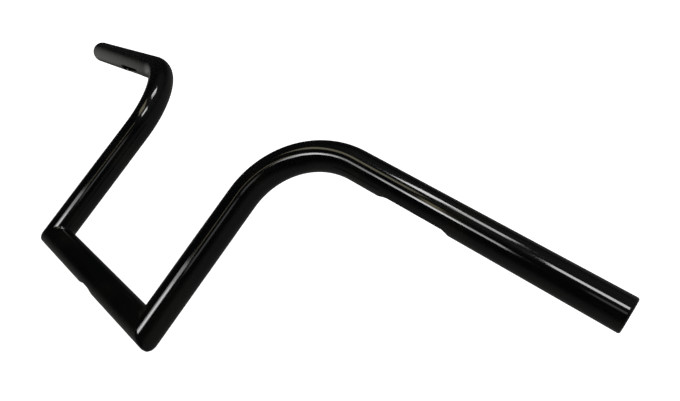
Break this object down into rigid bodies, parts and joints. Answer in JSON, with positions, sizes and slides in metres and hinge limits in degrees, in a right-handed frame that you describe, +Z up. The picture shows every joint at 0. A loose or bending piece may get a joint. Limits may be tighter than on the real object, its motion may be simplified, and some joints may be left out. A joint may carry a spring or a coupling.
{
  "type": "motorcycle handlebar",
  "caption": "Welded steel handlebar: straight clamp tube, mitred corners, tall uprights bending out into level swept-back grips, wire slots underneath.",
  "frame": {"origin": "centre of the clamp tube, on its axis, midway between the two uprights", "axes": "+X to the rider's right along the clamp tube, +Y forward, +Z up along the uprights; the grips sweep back towards -Y"},
  "size_m": [0.7384, 0.0846, 0.2209],
  "materials": {
    "gloss_black_paint": "gloss"
  },
  "bodies": {
    "root": {"clamp_tube": "gloss_black_paint", "left_side_tube": "gloss_black_paint", "right_side_tube": "gloss_black_paint", "left_corner_weld": "gloss_black_paint", "right_corner_weld": "gloss_black_paint"}
  },
  "joints": []
}
